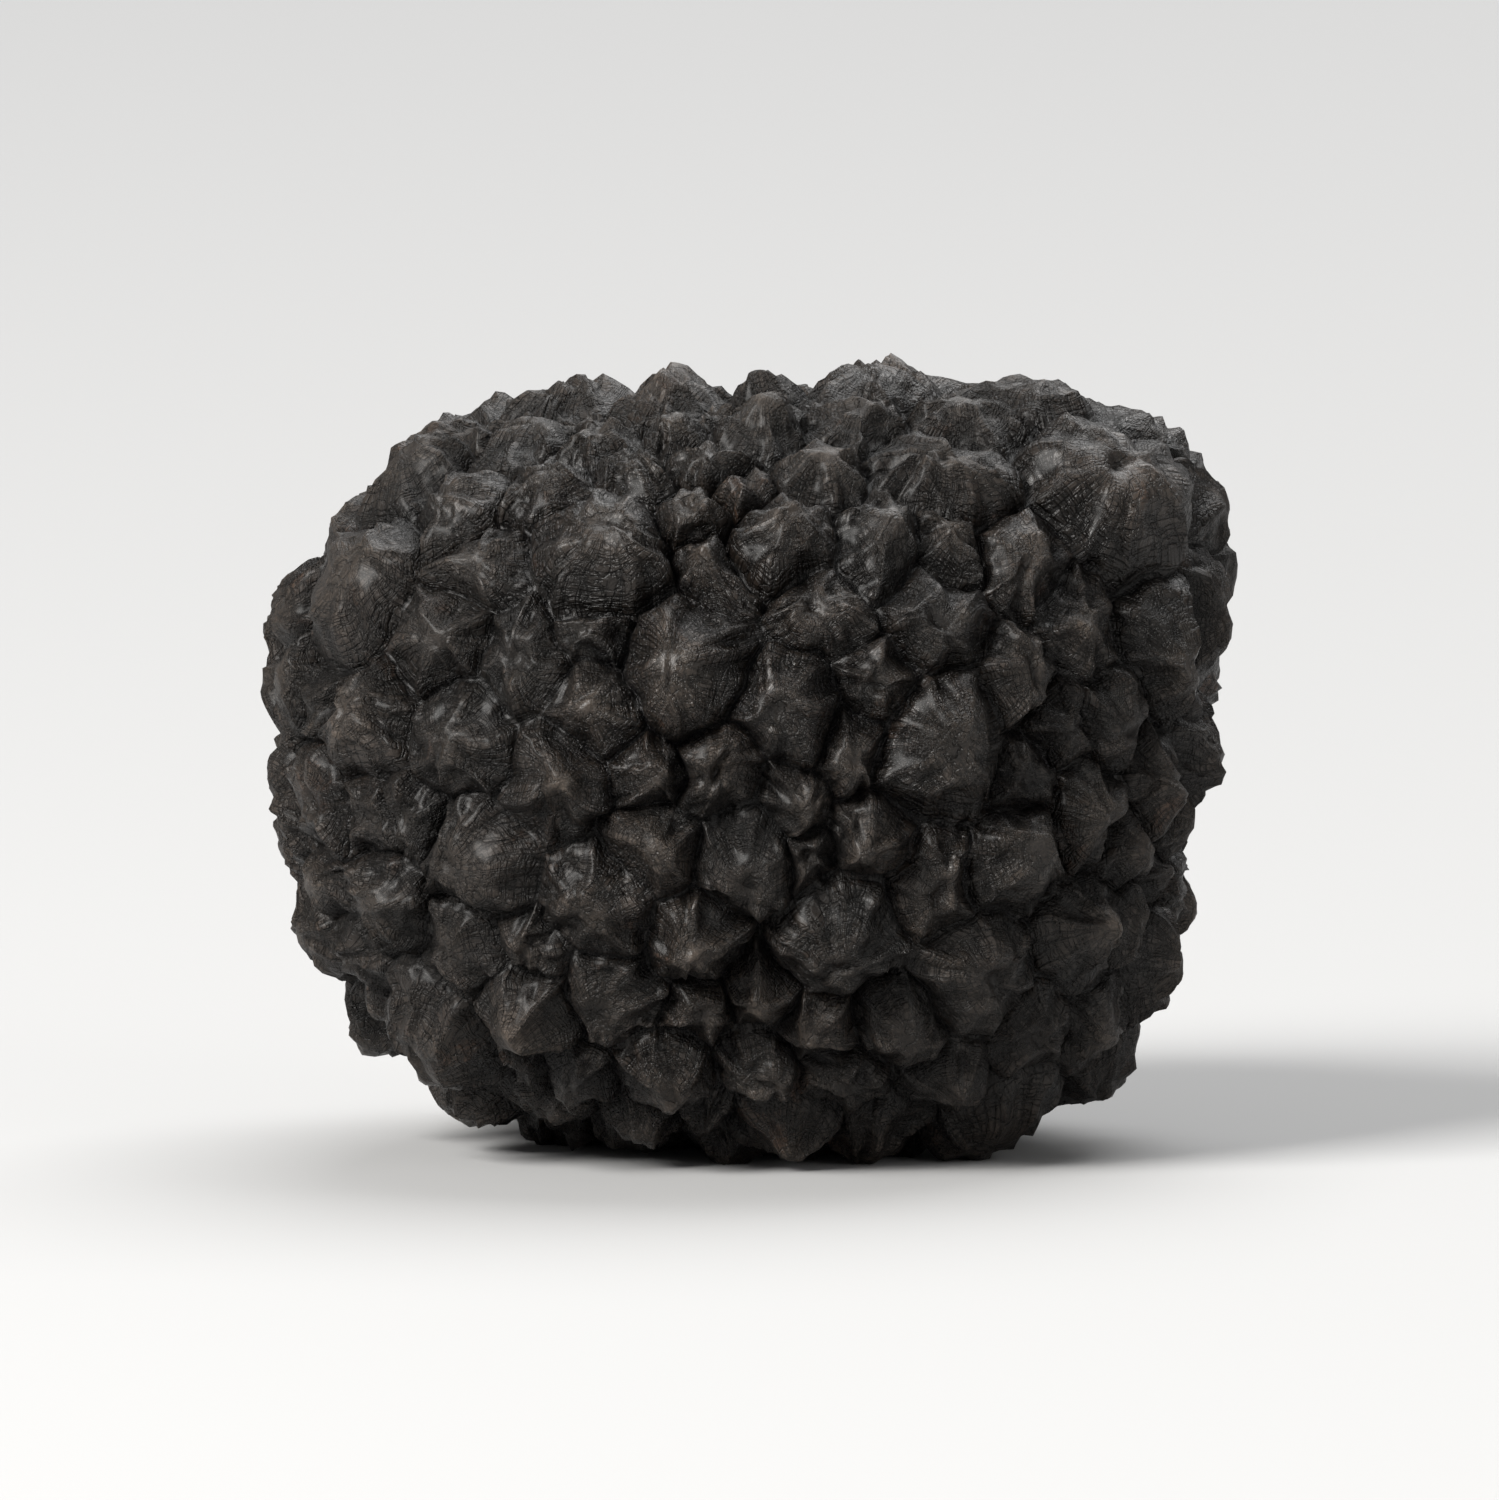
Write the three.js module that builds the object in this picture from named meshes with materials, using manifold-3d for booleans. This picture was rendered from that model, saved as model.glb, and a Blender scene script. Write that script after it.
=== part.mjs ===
// A whole black truffle, a firm tuber that grew in one piece and stays one solid. The body is a
// low, broad bun with a few swellings and hollows. Over it stand pyramid-shaped warts with four to
// nine sides, some with a blunt point and some with a dimple, and a narrow groove round each one.
// +Z is up. The origin is under the middle of the truffle, on the surface that it rests on.
import * as THREE from "three";
import { ConvexHull } from "three/addons/math/ConvexHull.js";
import { mergeVertices } from "three/addons/utils/BufferGeometryUtils.js";
import Module from "manifold-3d";

// Driving dimensions, in millimetres, over the warts.
const WIDTH = 28; // along X
const DEPTH = 26; // along Y
const HEIGHT = 22.6; // along Z, standing on the flattened wart tips
const WART_RISE = 1.2; // from the groove to the crown, on a wart of middle size
const FOOT_CUT = 0.82; // how much of the lowest wart tips is pressed flat

// The body's upright section: 2 would be an ellipse, and more has a flatter top and steeper sides.
const SQUARENESS = 2.7;

// Swellings and hollows of the body. Each has a direction, a gain as a share of the body's radius,
// and a focus, which is higher on a narrower one.
const LOBES = [
  { toward: [0.3, -0.15, 0.95], gain: 0.05, focus: 20 },
  { toward: [0.82, 0, 0.57], gain: 0.26, focus: 13 },
  { toward: [-0.75, -0.2, 0.65], gain: 0.04, focus: 9 },
  { toward: [-0.8, -0.55, 0.1], gain: 0.05, focus: 6 },
  { toward: [-0.25, 0.95, -0.1], gain: 0.08, focus: 5 },
  { toward: [0.05, -0.9, -0.4], gain: -0.1, focus: 14 },
  { toward: [0.65, 0.75, 0.2], gain: -0.1, focus: 16 },
  { toward: [-0.85, 0.4, -0.4], gain: -0.07, focus: 16 },
  { toward: [-0.7, -0.25, -0.75], gain: -0.07, focus: 7 },
  { toward: [0.8, -0.3, -0.45], gain: 0.05, focus: 9 },
  { toward: [0.1, 0.1, -1], gain: -0.05, focus: 9 },
];

// Warts are drawn a size at a time, large before small, wherever one of that size still fits.
// Half widths are in radians as seen from the body's middle.
const WART_SIZES = [
  { half: 0.145, tries: 40 },
  { half: 0.11, tries: 300 },
  { half: 0.08, tries: 2500 },
  { half: 0.06, tries: 8000 },
];
const MIDDLE_HALF = 0.1;
const CROWDING = 1.04; // least distance between two warts' middles, over the sum of their halves
const SEED = 20;
const DRAW = { times: 1664525, plus: 1013904223, range: 2 ** 32 }; // a well-tried generator's numbers

const EVENING_STEPS = 2; // times that each wart's middle moves to the middle of its own outline
const LEAST_SIDE = 0.026; // in radians: groove meeting points nearer than this become one
const MERGE_WITHIN = 1e-4; // in millimetres: nearer points of a mesh are the same point

// Rings of a wart from its groove up to its crown: how far in towards the peak each ring lies, and
// how far up. The peak itself is a point on a sharp wart and a dimple on a worn one.
const RINGS = [
  { inward: 0.1, up: 0.3 },
  { inward: 0.5, up: 0.68 },
  { inward: 0.82, up: 0.9 },
];
const PEAK_UP = { lowest: 0.85, highest: 1.2 };
const LEAN = 0.35; // how far off its wart's middle a peak may be, as a share of the half width
const RISE_POWER = 0.7; // how fast a wart's height grows with its width
const RISE_SPREAD = 0.16; // how much warts of one size differ in height, either way

// An even draw from 0 to 1, by a linear congruential generator, so that each build is the same.
function drawer(seed) {
  let state = seed >>> 0;
  return () => {
    state = (Math.imul(state, DRAW.times) + DRAW.plus) >>> 0;
    return state / DRAW.range;
  };
}

// A direction drawn evenly over the sphere.
function drawnDirection(draw) {
  const z = 2 * draw() - 1;
  const turn = 2 * Math.PI * draw();
  const flat = Math.sqrt(1 - z * z);
  return new THREE.Vector3(flat * Math.cos(turn), flat * Math.sin(turn), z);
}

// The warts' middles, evened out, then their heights and their peaks. The first points straight
// down, so that one wart is under the truffle's middle. A later one is kept if it is clear of all
// the others.
function drawnWarts(draw) {
  const warts = [{ middle: new THREE.Vector3(0, 0, -1), half: WART_SIZES[0].half }];
  for (const { half, tries } of WART_SIZES) {
    for (let n = 0; n < tries; n++) {
      const middle = drawnDirection(draw);
      const clear = warts.every((w) => middle.angleTo(w.middle) > CROWDING * (half + w.half));
      if (clear) warts.push({ middle, half });
    }
  }
  for (let n = 0; n < EVENING_STEPS; n++) {
    const { meetings, around } = grooveNet(warts);
    warts.forEach((wart, i) => {
      const sum = around[i].reduce((v, m) => v.add(meetings[m]), new THREE.Vector3());
      wart.middle = sum.normalize();
    });
  }
  for (const wart of warts) {
    const width = wart.half / MIDDLE_HALF;
    wart.rise = WART_RISE * width ** RISE_POWER * (1 + RISE_SPREAD * (2 * draw() - 1));
    wart.peakUp = THREE.MathUtils.lerp(PEAK_UP.lowest, PEAK_UP.highest, draw());
    const lean = drawnDirection(draw).multiplyScalar(LEAN * wart.half);
    wart.peak = wart.middle.clone().add(lean).normalize();
  }
  return warts;
}

// How far the bun reaches in a direction, before it swells.
const halfSize = new THREE.Vector3(WIDTH, DEPTH, HEIGHT).multiplyScalar(0.5).subScalar(WART_RISE);
function bunRadius(d) {
  const around = Math.hypot(d.x / halfSize.x, d.y / halfSize.y) ** SQUARENESS;
  const upright = Math.abs(d.z / halfSize.z) ** SQUARENESS;
  return (around + upright) ** (-1 / SQUARENESS);
}

// A vector square to the bun's surface, from the gradient of the formula in bunRadius.
function bunNormal(d) {
  const around = Math.hypot(d.x / halfSize.x, d.y / halfSize.y) ** (SQUARENESS - 2);
  const upright = Math.sign(d.z) * Math.abs(d.z / halfSize.z) ** (SQUARENESS - 1);
  return new THREE.Vector3(
    (around * d.x) / halfSize.x ** 2,
    (around * d.y) / halfSize.y ** 2,
    upright / halfSize.z,
  );
}

// How much the lobes swell the bun in a direction, and how fast that grows along the sphere there.
const lobes = LOBES.map(({ toward, gain, focus }) => ({
  toward: new THREE.Vector3(...toward).normalize(),
  gain,
  focus,
}));
function swelling(d) {
  let total = 1;
  const growth = new THREE.Vector3();
  for (const { toward, gain, focus } of lobes) {
    const facing = d.dot(toward);
    const added = gain * Math.exp(focus * (facing - 1));
    total += added;
    growth.addScaledVector(toward, focus * added).addScaledVector(d, -focus * added * facing);
  }
  return { total, growth };
}

// The point of the surface in a direction, raised square to the swollen body.
function surfacePoint(direction, rise) {
  const { total, growth } = swelling(direction);
  const normal = bunNormal(direction);
  normal.multiplyScalar(total / normal.dot(direction)).sub(growth).normalize();
  const body = direction.clone().multiplyScalar(bunRadius(direction) * total);
  return body.addScaledVector(normal, rise);
}

// The grooves' meeting points. A wart owns the directions where the dot product with its middle,
// over the cosine of its half width, is the largest. Three warts then meet at each face of the
// convex hull of their middles, each moved out by that cosine, in the direction that the face looks.
function grooveNet(warts) {
  const sites = warts.map((w) => w.middle.clone().multiplyScalar(1 / Math.cos(w.half)));
  const ownerOf = new Map(sites.map((site, i) => [site, i]));
  const around = warts.map(() => []);
  const meetings = new ConvexHull().setFromPoints(sites).faces.map((face, m) => {
    for (const k of [0, 1, 2]) around[ownerOf.get(face.getEdge(k).head().point)].push(m);
    return face.normal.clone();
  });
  warts.forEach(({ middle }, i) => {
    const straightDown = middle.x === 0 && middle.y === 0;
    const east = new THREE.Vector3(straightDown ? 1 : -middle.y, middle.x, 0).normalize();
    const north = middle.clone().cross(east);
    const bearing = (m) => Math.atan2(meetings[m].dot(north), meetings[m].dot(east));
    around[i].sort((a, b) => bearing(a) - bearing(b));
  });
  return { meetings, around };
}

// The same net with each run of meeting points that are too near each other drawn together into
// one, at their middle, so that no wart has a side too short to see.
function withoutShortSides({ meetings, around }) {
  const groupOf = [];
  const sums = [];
  meetings.forEach((m, i) => {
    const near = meetings.findIndex((other) => other.angleTo(m) < LEAST_SIDE);
    groupOf[i] = near < i ? groupOf[near] : sums.push(new THREE.Vector3()) - 1;
    sums[groupOf[i]].add(m);
  });
  return {
    meetings: sums.map((sum) => sum.normalize()),
    around: around.map((ring) =>
      ring.map((m) => groupOf[m]).filter((m, k, all) => m !== all[(k + 1) % all.length]),
    ),
  };
}

// The whole skin as one closed geometry: the meeting points are shared by the warts round them,
// and each wart adds its rings and its peak.
function skinGeometry(warts) {
  const { meetings, around } = withoutShortSides(grooveNet(warts));
  const points = meetings.map((m) => surfacePoint(m, 0));
  const triangles = [];
  warts.forEach(({ peak, rise, peakUp }, i) => {
    let outer = around[i];
    for (const { inward, up } of RINGS) {
      const inner = around[i].map((m) => {
        const direction = meetings[m].clone().lerp(peak, inward).normalize();
        return points.push(surfacePoint(direction, rise * up)) - 1;
      });
      outer.forEach((a, k) => {
        const next = (k + 1) % outer.length;
        triangles.push(a, outer[next], inner[next], a, inner[next], inner[k]);
      });
      outer = inner;
    }
    const top = points.push(surfacePoint(peak, rise * peakUp)) - 1;
    outer.forEach((a, k) => triangles.push(a, outer[(k + 1) % outer.length], top));
  });
  return new THREE.BufferGeometry().setFromPoints(points).setIndex(triangles);
}

const wasm = await Module();
wasm.setup();

function solidFrom(geometry) {
  const bare = geometry.clone();
  bare.deleteAttribute("normal");
  bare.deleteAttribute("uv");
  const merged = mergeVertices(bare, MERGE_WITHIN);
  const vertProperties = merged.attributes.position.array;
  const triVerts = new Uint32Array(merged.index.array);
  return new wasm.Manifold(new wasm.Mesh({ numProp: 3, vertProperties, triVerts }));
}

function geometryFrom(solid) {
  const { vertProperties, triVerts } = solid.getMesh();
  return new THREE.BufferGeometry()
    .setAttribute("position", new THREE.BufferAttribute(vertProperties, 3))
    .setIndex(new THREE.BufferAttribute(triVerts, 1));
}

// The skin at the stated size, with its lowest tips at -FOOT_CUT, over the surface at 0.
function sizedSkin(geometry) {
  geometry.computeBoundingBox();
  const size = geometry.boundingBox.getSize(new THREE.Vector3());
  const middle = geometry.boundingBox.getCenter(new THREE.Vector3());
  geometry.translate(-middle.x, -middle.y, -geometry.boundingBox.min.z);
  geometry.scale(WIDTH / size.x, DEPTH / size.y, (HEIGHT + FOOT_CUT) / size.z);
  return geometry.translate(0, 0, -FOOT_CUT);
}

// What lies below the resting surface is cut away, which leaves the lowest wart tips flat.
const skin = solidFrom(sizedSkin(skinGeometry(drawnWarts(drawer(SEED)))));
const below = solidFrom(new THREE.BoxGeometry(WIDTH, DEPTH, HEIGHT).translate(0, 0, -HEIGHT / 2));

const peridium = new THREE.MeshStandardMaterial({ color: 0x2b2825, roughness: 0.55, metalness: 0 });
const truffle = new THREE.Mesh(geometryFrom(skin.subtract(below)), peridium);
truffle.name = "truffle";

const part = new THREE.Group();
part.add(truffle);
export default part;
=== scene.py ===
"""A whole black truffle: a fine skin in place of its solid, the rind's finish, and a plain studio.

The skin follows the solid's own formula. The body is a low, broad bun with swellings and hollows.
Over it stand pyramid-shaped warts, and a narrow groove parts each one from its neighbours. The skin
adds what the solid leaves out: hollow facets with ridges between them, flutes, cracks and terraces,
dimpled, worn or pointed crowns, wavy grooves, and fine lumps all over.
"""

import logging
import math
from dataclasses import dataclass, field
from enum import Enum, IntEnum

import bmesh
import bpy
import numpy as np
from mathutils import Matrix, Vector

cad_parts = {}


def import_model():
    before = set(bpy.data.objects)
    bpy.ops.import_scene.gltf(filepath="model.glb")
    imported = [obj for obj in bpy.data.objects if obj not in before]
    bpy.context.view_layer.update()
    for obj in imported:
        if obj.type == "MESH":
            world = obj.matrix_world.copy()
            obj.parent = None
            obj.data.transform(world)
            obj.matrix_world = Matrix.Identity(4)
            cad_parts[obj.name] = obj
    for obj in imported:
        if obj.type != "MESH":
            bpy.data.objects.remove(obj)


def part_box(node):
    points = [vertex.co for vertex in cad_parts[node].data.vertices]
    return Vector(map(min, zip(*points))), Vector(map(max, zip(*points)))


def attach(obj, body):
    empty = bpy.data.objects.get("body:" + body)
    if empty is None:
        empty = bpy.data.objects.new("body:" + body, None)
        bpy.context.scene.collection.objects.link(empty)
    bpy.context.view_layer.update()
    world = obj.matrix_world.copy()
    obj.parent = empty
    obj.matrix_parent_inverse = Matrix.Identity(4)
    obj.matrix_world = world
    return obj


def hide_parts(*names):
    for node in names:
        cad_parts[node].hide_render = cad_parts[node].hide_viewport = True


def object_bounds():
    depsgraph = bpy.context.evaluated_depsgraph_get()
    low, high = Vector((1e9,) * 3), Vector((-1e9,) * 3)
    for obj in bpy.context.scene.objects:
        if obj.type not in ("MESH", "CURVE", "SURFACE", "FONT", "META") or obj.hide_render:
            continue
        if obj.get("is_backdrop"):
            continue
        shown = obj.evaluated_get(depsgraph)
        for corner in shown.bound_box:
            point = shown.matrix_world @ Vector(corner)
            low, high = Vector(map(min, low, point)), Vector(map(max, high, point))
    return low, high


MM = 0.001
log = logging.getLogger("truffle")

Colour = tuple[float, float, float, float]
Socket = bpy.types.NodeSocket
WHITE: Colour = (1.0, 1.0, 1.0, 1.0)


def unit(vectors: np.ndarray) -> np.ndarray:
    """Vectors brought to length 1, along the last axis."""
    return vectors / np.linalg.norm(vectors, axis=-1, keepdims=True)


def smooth_step(low: float, high: float, values: np.ndarray) -> np.ndarray:
    """0 below low, 1 above high, and 3t^2 - 2t^3 between them."""
    t = np.clip((values - low) / (high - low), 0.0, 1.0)
    return t * t * (3.0 - 2.0 * t)


@dataclass(frozen=True)
class Waves:
    """One layer of even noise with no grain to it: sine waves in directions drawn at random.

    Attributes:
        length: the middle length of the waves, in millimetres.
        reach: how far the noise reaches round 0, in millimetres.
        seed: the number that the draws start from.
        count: how many sine waves are summed.
        spread: the shortest and the longest wave, as shares of the middle length.
        billow_gain: how much the noise grows before its usual size is taken off.
    """

    length: float
    reach: float
    seed: int
    count: int = 40
    spread: tuple[float, float] = (0.7, 1.4)
    billow_gain: float = 1.25

    def at(self, places: np.ndarray, shift: int = 0) -> np.ndarray:
        """The sum of the sine waves, times reach * sqrt(2 / count).

        Args:
            places: where to measure it, along the last axis, in millimetres.
            shift: added to the seed, which gives other noise of the same kind.

        Returns:
            One height for each place, with a spread of about reach round 0.
        """
        rng = np.random.default_rng(self.seed + shift)
        lengths = self.length * rng.uniform(*self.spread, self.count)
        along = unit(rng.normal(size=(self.count, 3))) * (math.tau / lengths)[:, None]
        waves = np.sin(places @ along.T + rng.uniform(0, math.tau, self.count))
        return self.reach * math.sqrt(2 / self.count) * waves.sum(-1)

    def billows(self, places: np.ndarray) -> np.ndarray:
        """Packed lumps with sharp creases between them: the noise's size, less its usual size."""
        return self.billow_gain * np.abs(self.at(places)) - self.reach


@dataclass(frozen=True)
class Lobe:
    """A swelling or a hollow of the body: where it points, its gain, and how narrow it is."""

    toward: tuple[float, float, float]
    gain: float
    focus: float


@dataclass
class TruffleBody:
    """The smooth body under the warts, in millimetres, measured from its own middle.

    Attributes:
        width, depth, height: the truffle's size along X, Y and Z, warts and all.
        wart_rise: how far a wart of middle size rises over the body.
        squareness: 2 gives a plain ellipsoid, and more a flatter top and steeper sides.
        lobes: the body's swellings and hollows.
    """

    width: float = 28.0
    depth: float = 26.0
    height: float = 22.6
    wart_rise: float = 1.2
    squareness: float = 2.7
    lobes: tuple[Lobe, ...] = (
        Lobe((0.3, -0.15, 0.95), 0.05, 20),
        Lobe((0.82, 0.0, 0.57), 0.26, 13),
        Lobe((-0.75, -0.2, 0.65), 0.04, 9),
        Lobe((-0.8, -0.55, 0.1), 0.05, 6),
        Lobe((-0.25, 0.95, -0.1), 0.08, 5),
        Lobe((0.05, -0.9, -0.4), -0.1, 14),
        Lobe((0.65, 0.75, 0.2), -0.1, 16),
        Lobe((-0.85, 0.4, -0.4), -0.07, 16),
        Lobe((-0.7, -0.25, -0.75), -0.07, 7),
        Lobe((0.8, -0.3, -0.45), 0.05, 9),
        Lobe((0.1, 0.1, -1.0), -0.05, 9),
    )

    def ball(self) -> float:
        """Radius of a ball of about the truffle's size."""
        return self.depth / 2

    def half_size(self) -> np.ndarray:
        """Half of the bun's size along X, Y and Z, under the warts."""
        return np.array([self.width, self.depth, self.height]) / 2 - self.wart_rise

    def radius(self, directions: np.ndarray) -> np.ndarray:
        """How far the body reaches: a bun of the stated squareness, times its swelling.

        The bun is where (flat distance)^s + (height)^s is 1, with each size taken as a share of
        its half.

        Args:
            directions: unit vectors, along the last axis.

        Returns:
            The reach in each direction.
        """
        part = directions / self.half_size()
        flat = np.hypot(part[..., 0], part[..., 1]) ** self.squareness
        bun = (flat + np.abs(part[..., 2]) ** self.squareness) ** (-1 / self.squareness)
        return bun * self.swelling(directions)[0]

    def swelling(self, directions: np.ndarray) -> tuple[np.ndarray, np.ndarray]:
        """How much the lobes swell the bun: one plus the sum of what each lobe adds.

        A lobe adds its gain times exp(focus * (cosine of the angle to it - 1)).

        Args:
            directions: unit vectors, along the last axis.

        Returns:
            The swelling in each direction, and how fast it grows along the ball there.
        """
        total, growth = np.ones(directions.shape[:-1]), np.zeros(directions.shape)
        for lobe in self.lobes:
            toward = unit(np.array(lobe.toward))
            facing = directions @ toward
            added = lobe.gain * np.exp(lobe.focus * (facing - 1))
            total += added
            growth += (lobe.focus * added)[..., None] * (toward - facing[..., None] * directions)
        return total, growth

    def normal(self, directions: np.ndarray) -> np.ndarray:
        """Directions square to the body.

        The bun's own normal comes from the gradient of its formula. It is scaled by the swelling
        over its dot product with the direction, and the swelling's growth is taken from it.

        Args:
            directions: unit vectors, along the last axis.

        Returns:
            The unit normal of the body in each direction.
        """
        part = directions / self.half_size()
        flat = np.hypot(part[..., :1], part[..., 1:2]) ** (self.squareness - 2)
        upright = np.sign(part[..., 2:]) * np.abs(part[..., 2:]) ** (self.squareness - 1)
        bun = np.concatenate([flat * part[..., :2], upright], axis=-1) / self.half_size()
        swelling, growth = self.swelling(directions)
        scale = swelling / (bun * directions).sum(-1)
        return unit(bun * scale[..., None] - growth)

    def surface(self, directions: np.ndarray, rise: np.ndarray) -> np.ndarray:
        """Points of the skin: the body's own point in each direction, raised square to it."""
        body = directions * self.radius(directions)[..., None]
        return body + self.normal(directions) * rise[..., None]


@dataclass
class Drawer:
    """The solid's own draws: a linear congruential generator with well-tried numbers."""

    state: int
    times: int = 1664525
    plus: int = 1013904223
    wrap_at: int = 2**32

    def share(self) -> float:
        """The next even draw from 0 to 1."""
        self.state = (self.state * self.times + self.plus) % self.wrap_at
        return self.state / self.wrap_at

    def direction(self) -> np.ndarray:
        """Draws a direction evenly over the sphere: first its height, then its turn.

        Returns:
            The direction, as a unit vector.
        """
        z, turn = 2 * self.share() - 1, math.tau * self.share()
        flat = math.sqrt(1 - z * z)
        return np.array([flat * math.cos(turn), flat * math.sin(turn), z])


@dataclass(frozen=True)
class WartSize:
    """One size of wart: its half width in radians, and how many places are tried for it."""

    half: float
    tries: int


@dataclass
class WartNet:
    """Where the warts stand, how wide and high each is, and the net of grooves between them.

    Attributes:
        seed: the number that the draws start from.
        crowding: the least distance between two middles, over the sum of their half widths.
        evening_steps: how often each middle moves to the middle of its wart's outline.
        least_side: groove meeting points nearer than this become one, in radians.
        middle_half: the half width of a wart of middle size, in radians.
        rise_power: how fast a wart's height grows with its width.
        rise_spread: how much warts of one size differ in height, either way.
        tip_up: the lowest and the highest tip, as shares of the wart's rise.
        lean: how far off the middle a peak may be, as a share of the half width.
        sizes: the sizes of wart, large before small.
        middles, halves, rises, tips, peaks: what is drawn and worked out for each wart.
    """

    seed: int = 20
    crowding: float = 1.04
    evening_steps: int = 2
    least_side: float = 0.026
    middle_half: float = 0.1
    rise_power: float = 0.7
    rise_spread: float = 0.16
    tip_up: tuple[float, float] = (0.85, 1.2)
    lean: float = 0.35
    sizes: tuple[WartSize, ...] = (
        WartSize(0.145, 40),
        WartSize(0.11, 300),
        WartSize(0.08, 2500),
        WartSize(0.06, 8000),
    )
    middles: np.ndarray = field(init=False)
    halves: np.ndarray = field(init=False)
    rises: np.ndarray = field(init=False)
    tips: np.ndarray = field(init=False)
    peaks: np.ndarray = field(init=False)

    def __post_init__(self) -> None:
        """Draws the warts in the same order as the solid does, so that they stand where its do."""
        drawer = Drawer(self.seed)
        middles = [np.array([0.0, 0.0, -1.0])]
        halves = [self.sizes[0].half]
        for size in self.sizes:
            for _ in range(size.tries):
                middle = drawer.direction()
                apart = np.arccos(np.clip(np.array(middles) @ middle, -1, 1))
                if np.all(apart > self.crowding * (size.half + np.array(halves))):
                    middles.append(middle)
                    halves.append(size.half)
        self.middles, self.halves = np.array(middles), np.array(halves)
        for _ in range(self.evening_steps):
            meetings, owners = self.groove_net()
            sums = np.zeros_like(self.middles)
            np.add.at(sums, owners.ravel(), np.repeat(meetings, 3, axis=0))
            self.middles = unit(sums)
        drawn = np.array([(drawer.share(), drawer.share(), *drawer.direction()) for _ in middles])
        spread = 1 + self.rise_spread * (2 * drawn[:, 0] - 1)
        self.rises = (self.halves / self.middle_half) ** self.rise_power * spread
        self.tips = self.tip_up[0] + (self.tip_up[1] - self.tip_up[0]) * drawn[:, 1]
        self.peaks = unit(self.middles + self.lean * self.halves[:, None] * drawn[:, 2:])

    def groove_net(self) -> tuple[np.ndarray, np.ndarray]:
        """Where the grooves meet, which is three warts at a time.

        A wart owns the directions where the dot product with its middle, over the cosine of its
        half width, is the largest. So each face of the convex hull of the middles, each moved out
        by that cosine, looks towards one meeting point.

        Returns:
            The meeting directions, and the three warts that meet at each one.
        """
        sites = self.middles / np.cos(self.halves)[:, None]
        hull = bmesh.new()
        for site in sites:
            hull.verts.new(site)
        hull.verts.index_update()
        bmesh.ops.convex_hull(hull, input=hull.verts)
        owners = np.array([[corner.index for corner in face.verts] for face in hull.faces])
        hull.free()
        first, second, third = (sites[owners[:, k]] for k in range(3))
        meetings = unit(np.cross(second - first, third - first))
        return meetings * np.sign((meetings * first).sum(1))[:, None], owners

    def sides(self) -> tuple[np.ndarray, np.ndarray, np.ndarray]:
        """Every side of every wart, once for each of the two warts that share it.

        Meeting points nearer each other than least_side are first drawn together into one, at
        their middle.

        Returns:
            The wart's number, and the side's first and last meeting directions, going round the
            wart anticlockwise as seen from outside.
        """
        meetings, owners = self.groove_net()
        group = np.arange(len(meetings))
        near = np.argmax(meetings @ meetings.T > math.cos(self.least_side), axis=1)
        for i, first in enumerate(near):
            group[i] = group[min(first, i)]
        merged = np.zeros_like(meetings)
        np.add.at(merged, group, meetings)
        warts, starts, ends = [], [], []
        for i in range(len(self.middles)):
            ring = np.nonzero((owners == i).any(1))[0]
            ring = group[ring[np.argsort(self.bearing(meetings[ring], np.full(len(ring), i)))]]
            ring = ring[ring != np.roll(ring, -1)]
            warts.append(np.full(len(ring), i))
            starts.append(merged[ring])
            ends.append(merged[np.roll(ring, -1)])
        return np.concatenate(warts), unit(np.concatenate(starts)), unit(np.concatenate(ends))

    def bearing(self, directions: np.ndarray, wart: np.ndarray) -> np.ndarray:
        """The compass bearing of each direction from the peak of its wart.

        Args:
            directions: unit vectors, along the last axis.
            wart: the number of each one's wart.

        Returns:
            The bearings, in radians.
        """
        peak = self.peaks[wart]
        east = unit(np.cross([0.0, 0.0, 1.0], peak))
        north = np.cross(peak, east)
        return np.arctan2((directions * north).sum(-1), (directions * east).sum(-1))


class Crown(Enum):
    """How a wart ends, by the share of its rise that its tip stands at: from, and up to."""

    DIMPLED = (0.0, 0.97)
    WORN = (0.97, 1.08)
    POINTED = (1.08, 2.0)

    def among(self, tips: np.ndarray) -> np.ndarray:
        """Which of the tips end in this way."""
        low, high = self.value
        return (tips >= low) & (tips < high)


class Draw(IntEnum):
    """What is drawn for each wart: the numbers that keep one kind of draw apart from the others.

    A ring of flutes is drawn with its own count, and each further crack with the next number.
    """

    CROWN_START = 0
    CRACK_LENGTH = 30
    CRACK = 40
    STAR_CRACK = 50


@dataclass
class WartPlaces:
    """Every point of the skin's grid, and where it lies on its own wart.

    Attributes:
        wart: the wart's number.
        inward: 0 at the groove and 1 at the peak.
        along: 0 at the side's first corner and 1 at its last.
        side: the length of the groove along that side, in millimetres.
        bearing: the bearing from the peak, in radians.
        reach: the distance from the peak, in millimetres.
        on_ball: the place itself, on a ball of about the truffle's size, in millimetres.
    """

    wart: np.ndarray
    inward: np.ndarray
    along: np.ndarray
    side: np.ndarray
    bearing: np.ndarray
    reach: np.ndarray
    on_ball: np.ndarray


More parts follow.
